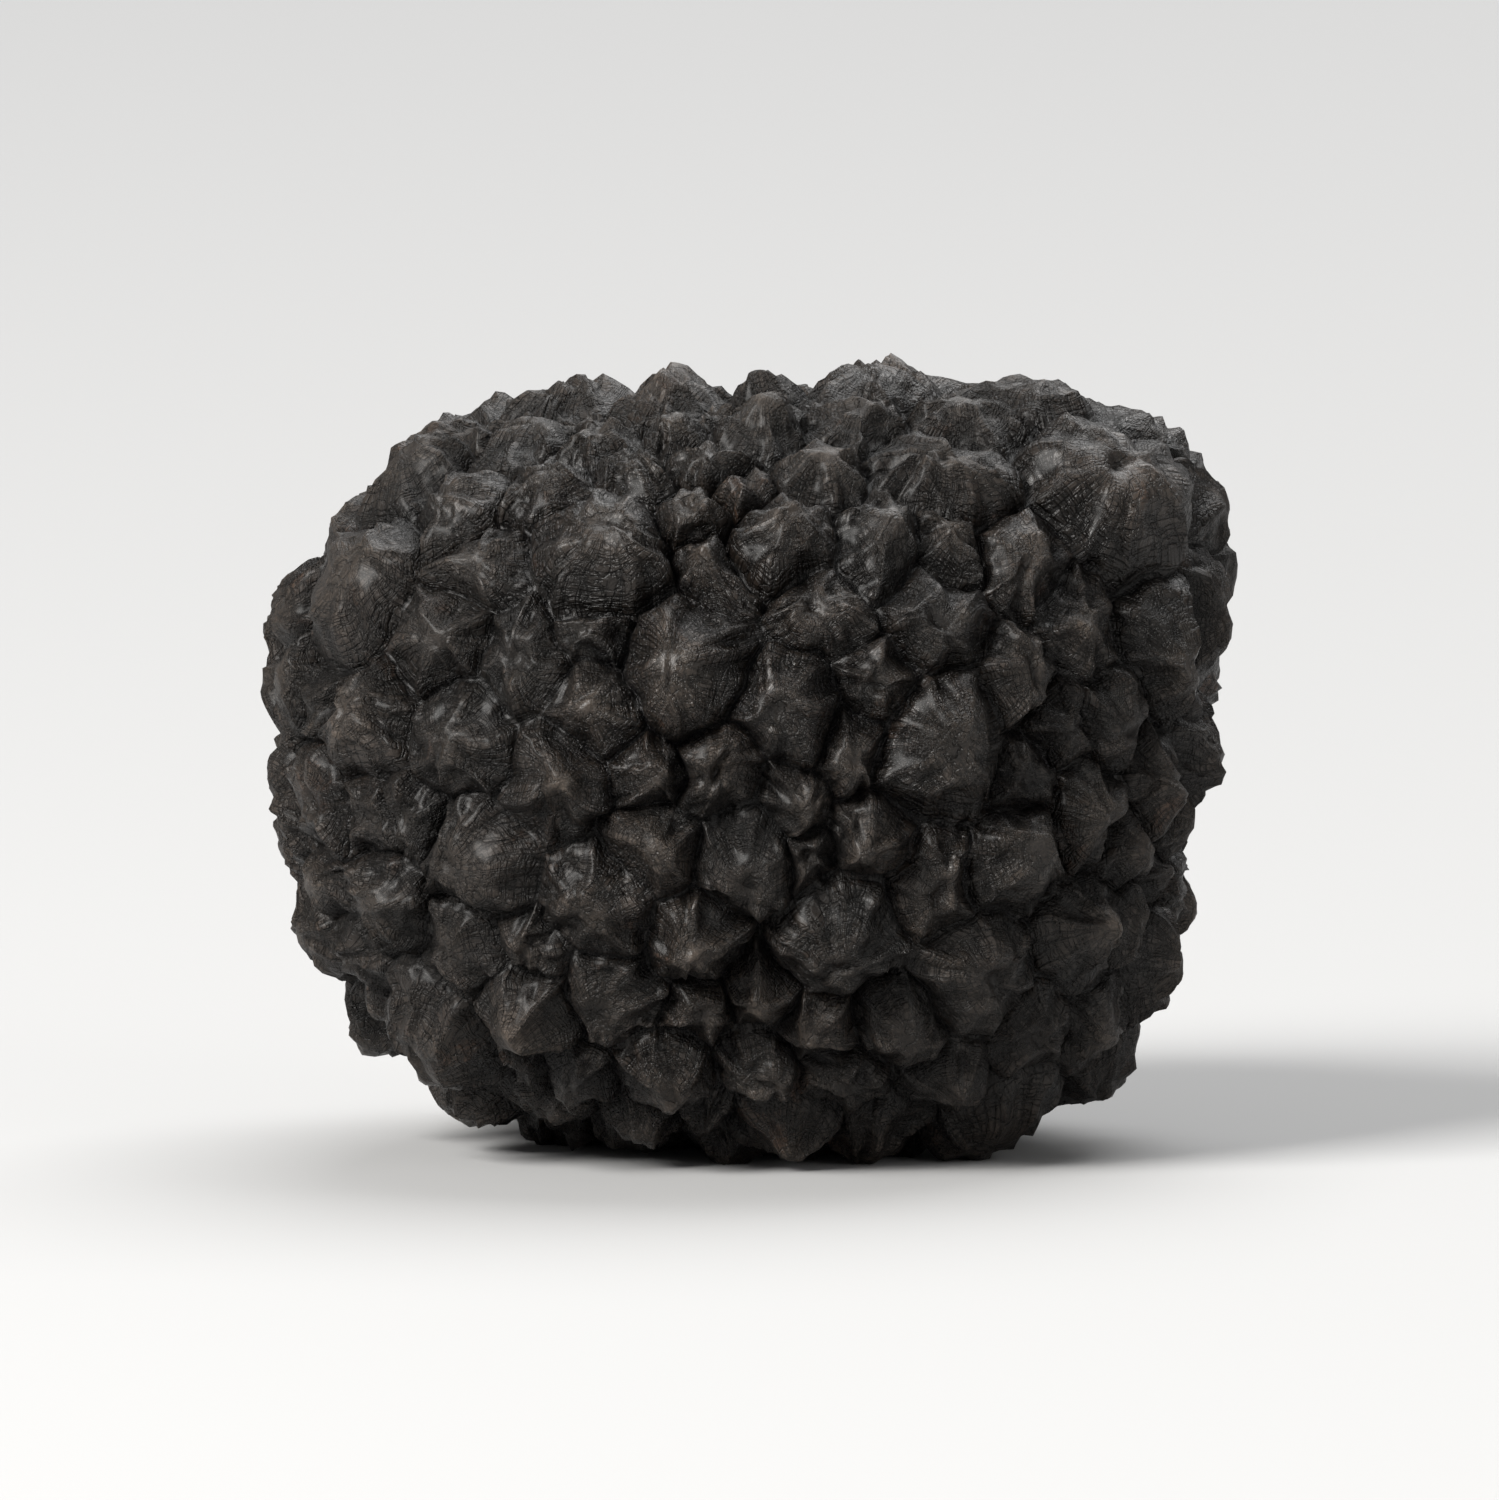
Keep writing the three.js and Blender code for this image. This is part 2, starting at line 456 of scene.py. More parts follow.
@dataclass
class WartRelief:
    """How each wart's skin rises from the groove round it.

    Widths, depths and waves are in millimetres. What starts or ends somewhere does so at a share
    of the way from the groove to the peak. What is up is a share of the wart's rise.
    """

    net: WartNet
    rise: float
    seed: int = 5
    wall_up: float = 0.24
    wall_width: float = 0.05
    crown_starts: tuple[float, float] = (0.75, 1.1)
    crown_up: float = 0.97
    tip_starts: float = 0.55
    blunt: float = 0.14
    slope_starts: float = 0.22
    slope_ends: float = 0.9
    ridge_rise: float = 0.11
    ridge_width: float = 0.22
    facet_hollow: float = 0.065
    flutes: tuple[int, ...] = (7, 11, 17)
    flute_rise: float = 0.04
    cracks: int = 3
    crack_depth: float = 0.2
    crack_width: float = 0.11
    crack_starts: float = 0.06
    crack_reach: tuple[float, float] = (0.15, 0.75)
    star_cracks: int = 5
    star_depth: float = 0.13
    star_width: float = 0.09
    star_reach: float = 0.7
    pit_depth: float = 0.16
    pit_width: float = 0.32
    knob_rise: float = 0.05
    terrace: float = 0.26
    terrace_share: float = 0.12
    terrace_starts: tuple[float, float] = (0.08, 0.3)
    crevice_depth: float = 0.28
    crevice_width: float = 0.12
    crevice_limit: float = 2.0
    swerve: Waves = Waves(2.4, 0.35, 7)
    line_swerve: float = 0.5
    level_waves: Waves = Waves(1.8, 0.12, 8)
    crevice_waves: Waves = Waves(5.0, 1.0, 9)
    lumps: tuple[Waves, ...] = (Waves(3.5, 0.08, 15), Waves(1.3, 0.05, 16), Waves(0.6, 0.035, 17))
    billows: tuple[Waves, ...] = (Waves(1.6, 0.06, 25), Waves(0.85, 0.045, 26))

    def drawn(self, number: int, low: float, high: float) -> np.ndarray:
        """One value from low to high for each wart, drawn anew for each number."""
        return np.random.default_rng([self.seed, number]).uniform(low, high, len(self.net.middles))

    def profile(self, at: WartPlaces) -> np.ndarray:
        """How far up a wart is, from 0 in its groove to about 1 on its crown.

        A steep wall, 1 - exp(-inward / width), is followed by an even slope, which eases off where
        the crown starts. From there the tip rises or sinks. The share still to go to the peak is
        swapped for sqrt(share^2 + blunt^2) - blunt, scaled to end at 1, which rounds the point.

        Args:
            at: the places.

        Returns:
            The share of the wart's rise at each place.
        """
        crown_starts = self.drawn(Draw.CROWN_START, *self.crown_starts)[at.wart]
        wall = self.wall_up * (1 - np.exp(-at.inward / self.wall_width))
        to_go = np.hypot(1 - at.inward, self.blunt) - self.blunt
        inward = 1 - to_go / (math.hypot(1, self.blunt) - self.blunt)
        slope = np.tanh((inward / crown_starts) ** 2) ** 0.5
        tip = (self.net.tips[at.wart] - self.crown_up) * smooth_step(self.tip_starts, 1.0, inward)
        return wall + (self.crown_up - self.wall_up) * slope + tip

    def on_slope(self, at: WartPlaces) -> np.ndarray:
        """1 on a wart's slope, and 0 in its groove and on its tip."""
        above_groove = smooth_step(0.0, self.slope_starts, at.inward)
        return above_groove * (1 - smooth_step(self.tip_starts, self.slope_ends, at.inward))

    def facets(self, at: WartPlaces) -> np.ndarray:
        """Ridges from a wart's corners up to its crown, and the hollow facets between them.

        A ridge is exp(-(distance from it / width)^2) high. A facet sinks by 4a(1 - a) times a share
        of its width, where a runs from 0 to 1 across it.

        Args:
            at: the places.

        Returns:
            The height that they add at each place.
        """
        across = (1 - at.inward) * at.side
        ridges = np.exp(-((at.along * across / self.ridge_width) ** 2))
        ridges += np.exp(-(((1 - at.along) * across / self.ridge_width) ** 2))
        hollows = 4 * at.along * (1 - at.along) * across
        return (self.ridge_rise * ridges - self.facet_hollow * hollows) * self.on_slope(at)

    def fluting(self, at: WartPlaces) -> np.ndarray:
        """Flutes down the slopes: a sum of -|sin(number * bearing / 2)|, wavy and off phase.

        Args:
            at: the places.

        Returns:
            The height that they add at each place, which is about 0 on the whole.
        """
        swerve = self.swerve.at(at.on_ball)
        flutes = np.zeros_like(at.inward)
        for number in self.flutes:
            phase = self.drawn(number, 0, math.pi)[at.wart]
            flutes += 2 / math.pi - np.abs(np.sin(number * (at.bearing + swerve) / 2 + phase))
        return self.flute_rise * flutes * self.on_slope(at)

    def line_from_peak(self, at: WartPlaces, number: int, width: float) -> np.ndarray:
        """A wavy line from the peak on a drawn bearing: exp(-(distance from it / width)^2).

        Args:
            at: the places.
            number: the number that its bearing is drawn with.
            width: the line's half width, in millimetres.

        Returns:
            1 on the line, and towards 0 away from it.
        """
        where = self.drawn(number, 0, math.tau)[at.wart]
        swerve = self.line_swerve * self.swerve.at(at.on_ball)
        off = np.abs(np.angle(np.exp(1j * (at.bearing + swerve - where)))) * at.reach
        return np.exp(-((off / width) ** 2))

    def cracking(self, at: WartPlaces) -> np.ndarray:
        """Cracks that run up the slopes from the groove, each shallower towards its end.

        Args:
            at: the places.

        Returns:
            The height that they take away at each place, as a number below 0.
        """
        cracks = np.zeros_like(at.inward)
        for k in range(self.cracks):
            length = self.drawn(Draw.CRACK_LENGTH + k, *self.crack_reach)[at.wart]
            starts = smooth_step(0.0, self.crack_starts, at.inward)
            fade = starts * np.clip(1 - at.inward / length, 0, 1)
            cracks -= fade * self.line_from_peak(at, Draw.CRACK + k, self.crack_width)
        return self.crack_depth * cracks

    def crowns(self, at: WartPlaces) -> np.ndarray:
        """A pit with a star of cracks on a dimpled tip, the star alone on a worn one, else a knob.

        A pit or a knob is exp(-(distance from the peak / width)^2) deep or high.

        Args:
            at: the places.

        Returns:
            The height that they add at each place.
        """
        dimpled, worn, pointed = (crown.among(self.net.tips)[at.wart] for crown in Crown)
        round_hill = np.exp(-((at.reach / self.pit_width) ** 2))
        star = np.zeros_like(round_hill)
        for k in range(self.star_cracks):
            star = np.maximum(star, self.line_from_peak(at, Draw.STAR_CRACK + k, self.star_width))
        fade = np.clip(1 - at.reach / self.star_reach, 0, 1)
        hill = (self.knob_rise * pointed - self.pit_depth * dimpled) * round_hill
        return hill - self.star_depth * star * fade * (dimpled | worn)

    def terraces(self, at: WartPlaces, up: np.ndarray) -> np.ndarray:
        """Growth terraces: the height, less a share of a sine of itself, which leaves soft steps.

        Args:
            at: the places.
            up: the height of the wart at each place, in millimetres.

        Returns:
            The height that they add at each place.
        """
        level = (up + self.level_waves.at(at.on_ball)) / self.terrace
        steps = -self.terrace * self.terrace_share * np.sin(math.tau * level)
        return steps * smooth_step(*self.terrace_starts, at.inward)

    def crevices(self, at: WartPlaces) -> np.ndarray:
        """Stretches of the net of grooves that are deeper than the rest."""
        deep = np.clip(self.crevice_waves.at(at.on_ball), 0, self.crevice_limit)
        return -self.crevice_depth * deep * np.exp(-at.inward / self.crevice_width)

    def heights(self, at: WartPlaces) -> tuple[np.ndarray, np.ndarray]:
        """The height of every place over the smooth body.

        Args:
            at: the places.

        Returns:
            The height, and the share of it that the fine forms make.
        """
        up = self.rise * self.net.rises[at.wart] * self.profile(at)
        fine = self.facets(at) + self.fluting(at) + self.cracking(at) + self.crowns(at)
        fine += self.terraces(at, up)
        fine += sum(waves.at(at.on_ball) for waves in self.lumps)
        fine += sum(waves.billows(at.on_ball) for waves in self.billows)
        return up + fine + self.crevices(at), fine


class Layer(Enum):
    """What the skin's mesh keeps for its finish: each value's name, and where it is kept."""

    UP = ("up", "POINT")
    FINE = ("fine", "POINT")
    ROUND_WART = ("round_wart", "CORNER")
    WART_TONE = ("wart_tone", "CORNER")

    def store(self, mesh: bpy.types.Mesh, values: np.ndarray) -> None:
        """Stores the values on the mesh.

        Args:
            mesh: the skin's mesh.
            values: one number, or one vector, for each of its points or corners.
        """
        name, domain = self.value
        kind, key = ("FLOAT", "value") if values.ndim == 1 else ("FLOAT_VECTOR", "vector")
        attribute = mesh.attributes.new(name, kind, domain)
        attribute.data.foreach_set(key, values.astype(np.float32).ravel())


@dataclass(frozen=True)
class Span:
    """A range of values, as a low end and a high end."""

    low: float
    high: float


@dataclass(frozen=True)
class Change:
    """How one value makes another: the range that is taken, and the range that it becomes."""

    taken: Span
    given: Span


@dataclass(frozen=True)
class Grain:
    """Noise in a finish: lumps to a metre, how many finer layers it has, and how rough they are."""

    scale: float
    detail: float = 4.0
    rough: float = 0.6


class Graph:
    """A material's nodes, with short ways to add the ones that the finishes use."""

    noise_middle: float = 0.5

    def __init__(self, name: str) -> None:
        """Starts a material that holds only its output and its shader.

        Args:
            name: the material's name.
        """
        self.material = bpy.data.materials.new(name)
        self.material.use_nodes = True
        self.tree = self.material.node_tree
        self.tree.nodes.clear()
        self.shader = self.add("ShaderNodeBsdfPrincipled")
        output = self.add("ShaderNodeOutputMaterial")
        self.join(self.shader.outputs["BSDF"], output.inputs["Surface"])
        self.place = self.add("ShaderNodeTexCoord").outputs["Object"]

    def add(self, kind: str, **settings: object) -> bpy.types.Node:
        """Adds a node, and sets its own settings.

        Args:
            kind: the node's type.
            **settings: the settings, by name.

        Returns:
            The new node.
        """
        node = self.tree.nodes.new(kind)
        for name, value in settings.items():
            setattr(node, name, value)
        return node

    def join(self, source: Socket, target: Socket) -> None:
        """Links an output to an input."""
        self.tree.links.new(source, target)

    def layer(self, layer: Layer, output: str = "Fac") -> Socket:
        """One of the values that the skin's mesh keeps."""
        return self.add("ShaderNodeAttribute", attribute_name=layer.value[0]).outputs[output]

    def noise(
        self, grain: Grain, place: Socket | None = None, shift: Socket | None = None
    ) -> Socket:
        """Noise laid on the truffle's own place, or on another one.

        Args:
            grain: the noise's size and layers.
            place: where it is laid instead.
            shift: a number that gives other noise of the same kind.

        Returns:
            The noise, from 0 to 1.
        """
        node = self.add("ShaderNodeTexNoise", noise_dimensions="3D" if shift is None else "4D")
        node.inputs["Scale"].default_value = grain.scale
        node.inputs["Detail"].default_value = grain.detail
        node.inputs["Roughness"].default_value = grain.rough
        self.join(self.place if place is None else place, node.inputs["Vector"])
        if shift is not None:
            self.join(shift, node.inputs["W"])
        return node.outputs["Fac"]

    def changed(self, source: Socket, change: Change) -> Socket:
        """Maps the taken range of a value to the given one, and keeps it inside.

        Args:
            source: the value.
            change: the two ranges.

        Returns:
            The mapped value.
        """
        node = self.add("ShaderNodeMapRange")
        node.inputs["From Min"].default_value = change.taken.low
        node.inputs["From Max"].default_value = change.taken.high
        node.inputs["To Min"].default_value = change.given.low
        node.inputs["To Max"].default_value = change.given.high
        self.join(source, node.inputs["Value"])
        return node.outputs["Result"]

    def mixed(self, colour: Socket, other: Colour, share: Socket) -> Socket:
        """Lays a share of another colour over a colour.

        Args:
            colour: the colour underneath.
            other: the colour on top.
            share: how much of it shows, from 0 to 1.

        Returns:
            The mixed colour.
        """
        node = self.add("ShaderNodeMix", data_type="RGBA")
        self.join(share, node.inputs["Factor"])
        self.join(colour, node.inputs["A"])
        node.inputs["B"].default_value = other
        return node.outputs["Result"]

    def product(self, *factors: Socket) -> Socket:
        """Multiplies numbers.

        Args:
            *factors: two or more numbers.

        Returns:
            Their product.
        """
        result = factors[0]
        for factor in factors[1:]:
            node = self.add("ShaderNodeMath", operation="MULTIPLY")
            self.join(result, node.inputs[0])
            self.join(factor, node.inputs[1])
            result = node.outputs[0]
        return result

    def crease(self, source: Socket, width: float) -> Socket:
        """Turns a noise into creases, along the long thin lines where it crosses its middle value.

        Args:
            source: the noise.
            width: how far off its middle value a crease ends.

        Returns:
            0 in the middle of a crease, and 1 beside it.
        """
        off_middle = self.add("ShaderNodeMath", operation="SUBTRACT")
        self.join(source, off_middle.inputs[0])
        off_middle.inputs[1].default_value = self.noise_middle
        size = self.add("ShaderNodeMath", operation="ABSOLUTE")
        self.join(off_middle.outputs[0], size.inputs[0])
        return self.changed(size.outputs[0], Change(Span(0.0, width), Span(0.0, 1.0)))

    def bump(self, height: Socket, distance: float) -> None:
        """Adds relief to the shader's normal, on top of what is there.

        Args:
            height: the relief, from 0 to 1.
            distance: its depth, in metres.
        """
        node = self.add("ShaderNodeBump")
        node.inputs["Distance"].default_value = distance
        self.join(height, node.inputs["Height"])
        normal = self.shader.inputs["Normal"]
        if normal.is_linked:
            self.join(normal.links[0].from_socket, node.inputs["Normal"])
        self.join(node.outputs["Normal"], normal)


@dataclass(frozen=True)
class RindFinish:
    """The rind: black-brown, darkened by painted shade in the grooves and creases, scuffed on the
    crowns, moist, finely creased.

    Grains and depths are in metres. Ribs and rings are noise round each wart, stretched down its
    slopes or round them. The first two numbers of each squeeze it round the wart, and the last one
    squeezes it from the groove to the peak.
    """

    # painted shade: the groove colour is far darker than the slope, darkening the rind where shade
    # falls in the grooves
    painted_groove_shade: Colour = (0.0036, 0.0024, 0.0017, 1)
    slope: Colour = (0.0145, 0.0112, 0.0090, 1)
    crest: Colour = (0.0290, 0.0228, 0.0182, 1)
    rust: Colour = (0.0420, 0.0215, 0.0120, 1)
    scuff: Colour = (0.0650, 0.0510, 0.0400, 1)
    # where the painted groove shade gives way to the slope colour on the height ramp
    groove_shade_ends: float = 0.05
    slope_ends: float = 0.55
    rust_patches: Grain = Grain(420, 5, 0.7)
    rust_share: Change = Change(Span(0.6, 0.75), Span(0.0, 0.8))
    scuff_patches: Grain = Grain(700, 6, 0.75)
    scuff_share: Change = Change(Span(0.52, 0.72), Span(0.0, 0.9))
    scuff_height: Change = Change(Span(0.75, 1.0), Span(0.0, 1.0))
    mottle: Grain = Grain(900, 6, 0.65)
    mottle_shade: Change = Change(Span(0.3, 0.7), Span(0.6, 1.5))
    wart_shade: Change = Change(Span(0.0, 1.0), Span(0.8, 1.25))
    # painted shade and painted light: darker where the fine forms sink, lighter where they rise
    fine_painted_shade: Change = Change(Span(-0.2, 0.25), Span(0.5, 1.5))
    # painted shade: darker in the fine creases
    crease_painted_shade: Change = Change(Span(0.0, 1.0), Span(0.45, 1.1))
    sheen_patches: Grain = Grain(160, 3, 0.5)
    roughness: Change = Change(Span(0.35, 0.65), Span(0.3, 0.56))
    refraction: float = 1.42
    gloss_level: float = 0.3
    coat: float = 0.11
    coat_roughness: float = 0.3
    wrinkles: Grain = Grain(1500, 3, 0.55)
    fine_grain: Grain = Grain(6500, 3, 0.6)
    stripes: Grain = Grain(1, 2, 0.5)
    stripe_shift: Change = Change(Span(0.0, 1.0), Span(0.0, 80.0))
    ribs: tuple[float, float, float] = (9.0, 9.0, 1.2)
    rings: tuple[float, float, float] = (1.8, 1.8, 15.0)
    off_peak: Change = Change(Span(0.4, 0.9), Span(1.0, 0.0))
    stripe_crease: float = 0.07
    wrinkle_crease: float = 0.04
    rib_depth: float = 0.00006
    ring_depth: float = 0.00005
    mottle_depth: float = 0.00012
    wrinkle_depth: float = 0.00004
    grain_depth: float = 0.00004

    def material(self) -> bpy.types.Material:
        """Builds the node material.

        Returns:
            The new material.
        """
        graph = Graph("truffle_rind")
        mottle = graph.noise(self.mottle)
        inward = graph.add("ShaderNodeSeparateXYZ")
        graph.join(graph.layer(Layer.ROUND_WART, "Vector"), inward.inputs["Vector"])
        off_peak = graph.changed(inward.outputs["Z"], self.off_peak)
        ribs = graph.crease(self.striped(graph, self.ribs), self.stripe_crease)
        rings = graph.crease(self.striped(graph, self.rings), self.stripe_crease)
        wrinkles = graph.crease(graph.noise(self.wrinkles), self.wrinkle_crease)
        # the product of ribs, rings and wrinkles marks the creases, which get painted shade in the
        # colour
        self.colour(graph, mottle, graph.product(ribs, rings, wrinkles))
        self.gloss(graph)
        graph.bump(graph.product(ribs, off_peak), self.rib_depth)
        graph.bump(graph.product(rings, off_peak), self.ring_depth)
        graph.bump(mottle, self.mottle_depth)
        graph.bump(wrinkles, self.wrinkle_depth)
        graph.bump(graph.noise(self.fine_grain), self.grain_depth)
        return graph.material

    def colour(self, graph: Graph, mottle: Socket, creases: Socket) -> None:
        """Colours the rind by its height, with painted shade towards the grooves, with rust and
        scuffs, and shades each wart by its own tone, with painted shade in the fine hollows and the
        creases.

        Args:
            graph: the material's nodes.
            mottle: noise that darkens and lightens the rind.
            creases: 0 in the fine creases and 1 beside them, which sets where painted shade darkens
                the rind.
        """
        # painted shade: the ramp darkens the rind by height, from the crest colour down to the
        # painted groove shade
        tone_and_shade_ramp = graph.add("ShaderNodeValToRGB")
        low, high = tone_and_shade_ramp.color_ramp.elements
        low.position, low.color = self.groove_shade_ends, self.painted_groove_shade
        high.position, high.color = 1.0, self.crest
        tone_and_shade_ramp.color_ramp.elements.new(self.slope_ends).color = self.slope
        up = graph.layer(Layer.UP)
        graph.join(up, tone_and_shade_ramp.inputs["Fac"])

        rusty = graph.changed(graph.noise(self.rust_patches), self.rust_share)
        scuffed = graph.product(
            graph.changed(graph.noise(self.scuff_patches), self.scuff_share),
            graph.changed(up, self.scuff_height),
        )
        colour = graph.mixed(tone_and_shade_ramp.outputs["Color"], self.rust, rusty)
        colour = graph.mixed(colour, self.scuff, scuffed)
        # the rind's own mottle and wart tone, times painted shade in the fine hollows and in the
        # creases
        tone_and_painted_shade = graph.product(
            graph.changed(mottle, self.mottle_shade),
            graph.changed(graph.layer(Layer.WART_TONE), self.wart_shade),
            graph.changed(graph.layer(Layer.FINE), self.fine_painted_shade),
            graph.changed(creases, self.crease_painted_shade),
        )
        shaded = graph.add("ShaderNodeVectorMath", operation="SCALE")
        graph.join(colour, shaded.inputs[0])
        graph.join(tone_and_painted_shade, shaded.inputs["Scale"])
        graph.join(shaded.outputs["Vector"], graph.shader.inputs["Base Color"])

    def gloss(self, graph: Graph) -> None:
        """Gives the rind a moist sheen that is duller in patches.

        Args:
            graph: the material's nodes.
        """
        dullness = graph.changed(graph.noise(self.sheen_patches), self.roughness)
        graph.join(dullness, graph.shader.inputs["Roughness"])
        graph.shader.inputs["IOR"].default_value = self.refraction
        graph.shader.inputs["Specular IOR Level"].default_value = self.gloss_level
        graph.shader.inputs["Coat Weight"].default_value = self.coat
        graph.shader.inputs["Coat Roughness"].default_value = self.coat_roughness

    def striped(self, graph: Graph, squeezed: tuple[float, float, float]) -> Socket:
        """Noise laid round each wart by bearing and inward share, and different on each wart.

        Args:
            graph: the material's nodes.
            squeezed: how much it is squeezed along the bearing's cosine and sine, and inward.

        Returns:
            The noise, from 0 to 1.
        """
        squeeze = graph.add("ShaderNodeMapping")
        squeeze.inputs["Scale"].default_value = squeezed
        graph.join(graph.layer(Layer.ROUND_WART, "Vector"), squeeze.inputs["Vector"])
        far_apart = graph.changed(graph.layer(Layer.WART_TONE), self.stripe_shift)
        return graph.noise(self.stripes, squeeze.outputs["Vector"], far_apart)


@dataclass
class TruffleSkin:
    """The fine closed skin: each side of a wart is a three-cornered patch up to the wart's peak.

    Attributes:
        body: the smooth body under the warts.
        net: the warts, and the grooves between them.
        relief: how the skin rises on each wart.
        finish: the rind's look.
        name: the new piece's name.
        patch_steps: how many rows of triangles a patch has.
        crowding: above 1, the rows of a patch are closer near the groove.
        foot_cut: how much of the lowest wart tips is pressed flat, in millimetres.
        least_facing: faces that face outwards less than this count as folded.
        ease_steps: how many times over the folds are eased.
        ease_share: how far towards its neighbours each step moves a point.
        steps_to_mm: points on the ball that agree to one step are the same point.
        tone_seed: the number that each wart's tone is drawn from.
        swerves: the noise that shoves the skin sideways.
    """

    body: TruffleBody
    net: WartNet
    relief: WartRelief
    finish: RindFinish = RindFinish()
    name: str = "truffle_rind"
    patch_steps: int = 11
    crowding: float = 1.1
    foot_cut: float = 0.82
    least_facing: float = 0.1
    ease_steps: int = 6
    ease_share: float = 0.5
    steps_to_mm: float = 1e5
    tone_seed: int = 8
    swerves: tuple[Waves, ...] = (
        Waves(3.2, 0.14, 100),
        Waves(1.5, 0.07, 200),
        Waves(0.7, 0.03, 300),
    )

    def patch(self) -> tuple[np.ndarray, np.ndarray, np.ndarray]:
        """The grid of one patch, in rows that crowd towards the groove.

        Returns:
            Each point's inward share, its share along the side, and the triangles.
        """
        n = self.patch_steps
        row = np.repeat(np.arange(n + 1), np.arange(n + 1, 0, -1))
        first = np.cumsum(np.concatenate([[0], np.arange(n + 1, 0, -1)]))
        place = np.arange(len(row)) - first[row]
        inward = (row / n) ** self.crowding
        along = np.where(row < n, place / np.maximum(n - row, 1), 0.5)
        here = np.arange(len(row))
        above = here + (n + 1 - row)
        low = (row < n) & (place < n - row)
        high = low & (place < n - row - 1)
        upright = np.column_stack([here, here + 1, above])[low]
        hanging = np.column_stack([here + 1, above + 1, above])[high]
        return inward, along, np.concatenate([upright, hanging])

    def places(self, inward: np.ndarray, along: np.ndarray) -> WartPlaces:
        """Lays the patch's grid on every side of every wart.

        Args:
            inward: the inward share of each point of a patch.
            along: its share along the side.

        Returns:
            The places, one row for each side.
        """
        wart, start, end = self.net.sides()
        edge = start[:, None] * (1 - along[:, None]) + end[:, None] * along[:, None]
        peak = self.net.peaks[wart][:, None]
        directions = unit(edge * (1 - inward[:, None]) + peak * inward[:, None])
        shape = directions.shape[:2]
        each = np.broadcast_to(wart[:, None], shape)
        side = self.body.ball() * np.linalg.norm(end - start, axis=1)
        return WartPlaces(
            wart=each,
            inward=np.broadcast_to(inward, shape),
            along=np.broadcast_to(along, shape),
            side=np.broadcast_to(side[:, None], shape),
            bearing=self.net.bearing(directions, each),
            reach=self.body.ball() * np.linalg.norm(directions - peak, axis=-1),
            on_ball=directions * self.body.ball(),
        )

    def shoved(self, places: np.ndarray) -> np.ndarray:
        """Shoves places on the ball sideways by noise, so that the grooves waver.

        Args:
            places: the places on the ball, in millimetres.

        Returns:
            The directions that they end up in.
        """
        shoved = places.copy()
        for waves in self.swerves:
            shoved += np.stack([waves.at(places, axis) for axis in range(3)], -1)
        return unit(shoved)

    def eased(self, points: np.ndarray, outward: np.ndarray, faces: np.ndarray) -> np.ndarray:
        """Smooths out folds, so that the skin never crosses itself.

        Where the dot product of a face's normal and the body's own is under least_facing, its
        corners move by ease_share of the way to the middle of the points round them. This is
        done ease_steps times.

        Args:
            points: the skin's points, in millimetres.
            outward: the body's own normal under each point.
            faces: the three points of each face.

        Returns:
            The points with the folds eased.
        """
        points = points.copy()
        faces_outward = unit(outward[faces].sum(1))
        neighbours = np.bincount(faces.ravel())[:, None]
        for _ in range(self.ease_steps):
            first, second, third = points[faces].swapaxes(0, 1)
            normals = unit(np.cross(second - first, third - first))
            folded = np.unique(faces[(normals * faces_outward).sum(-1) < self.least_facing])
            total = np.zeros_like(points)
            np.add.at(total, faces, points[np.roll(faces, -1, axis=1)])
            points[folded] += self.ease_share * (total / neighbours - points)[folded]
        return points

    def fitted(self, points: np.ndarray, low: Vector, high: Vector) -> np.ndarray:
        """Moves and scales the points to the solid's box, and presses the foot flat.

        The skin first reaches foot_cut below the surface that it rests on, and what lies under
        that surface is pressed flat on it.

        Args:
            points: the skin's points.
            low: the solid's lowest corner, in metres.
            high: its highest corner, in metres.

        Returns:
            The fitted points, in millimetres.
        """
        low, high = np.array(low) / MM, np.array(high) / MM
        sunk = np.array([0.0, 0.0, self.foot_cut])
        lowest, highest = points.min(0), points.max(0)
        points = (points - lowest) * (high - low + sunk) / (highest - lowest) + low - sunk
        points[:, 2] = np.maximum(points[:, 2], low[2])
        return points

    def welded(self, places: np.ndarray) -> tuple[np.ndarray, np.ndarray]:
        """Finds the points that patches share along their edges.

        Args:
            places: the places on the ball, in millimetres.

        Returns:
            Which points are kept, and for each point the number of the kept one in its place.
        """
        keys = np.round(places.reshape(-1, 3) * self.steps_to_mm).astype(np.int64)
        _, keep, index = np.unique(keys, axis=0, return_index=True, return_inverse=True)
        return keep, index.reshape(-1)

    def build(self, low: Vector, high: Vector) -> bpy.types.Object:
        """Makes the skin as one closed mesh, fitted to the solid's box, with its finish.

        Args:
            low: the solid's lowest corner, in metres.
            high: its highest corner, in metres.

        Returns:
            The new object, at the origin.
        """
        inward, along, triangles = self.patch()
        at = self.places(inward, along)
        height, fine = self.relief.heights(at)
        directions = self.shoved(at.on_ball)
        keep, index = self.welded(at.on_ball)
        raised = self.body.surface(directions, height).reshape(-1, 3)[keep]
        outward = self.body.normal(directions).reshape(-1, 3)[keep]
        patches, patch_points = at.wart.shape
        loops = (np.arange(patches)[:, None] * patch_points + triangles.ravel()).ravel()
        faces = index[loops].reshape(-1, 3)
        points = self.fitted(self.eased(raised, outward, faces), low, high)
        mesh = bpy.data.meshes.new(self.name)
        mesh.from_pydata(points * MM, [], faces)
        mesh.polygons.foreach_set("use_smooth", np.ones(len(loops) // 3, bool))
        self.dress(mesh, at, fine, keep, loops)
        skin = bpy.data.objects.new(self.name, mesh)
        bpy.context.scene.collection.objects.link(skin)
        return skin

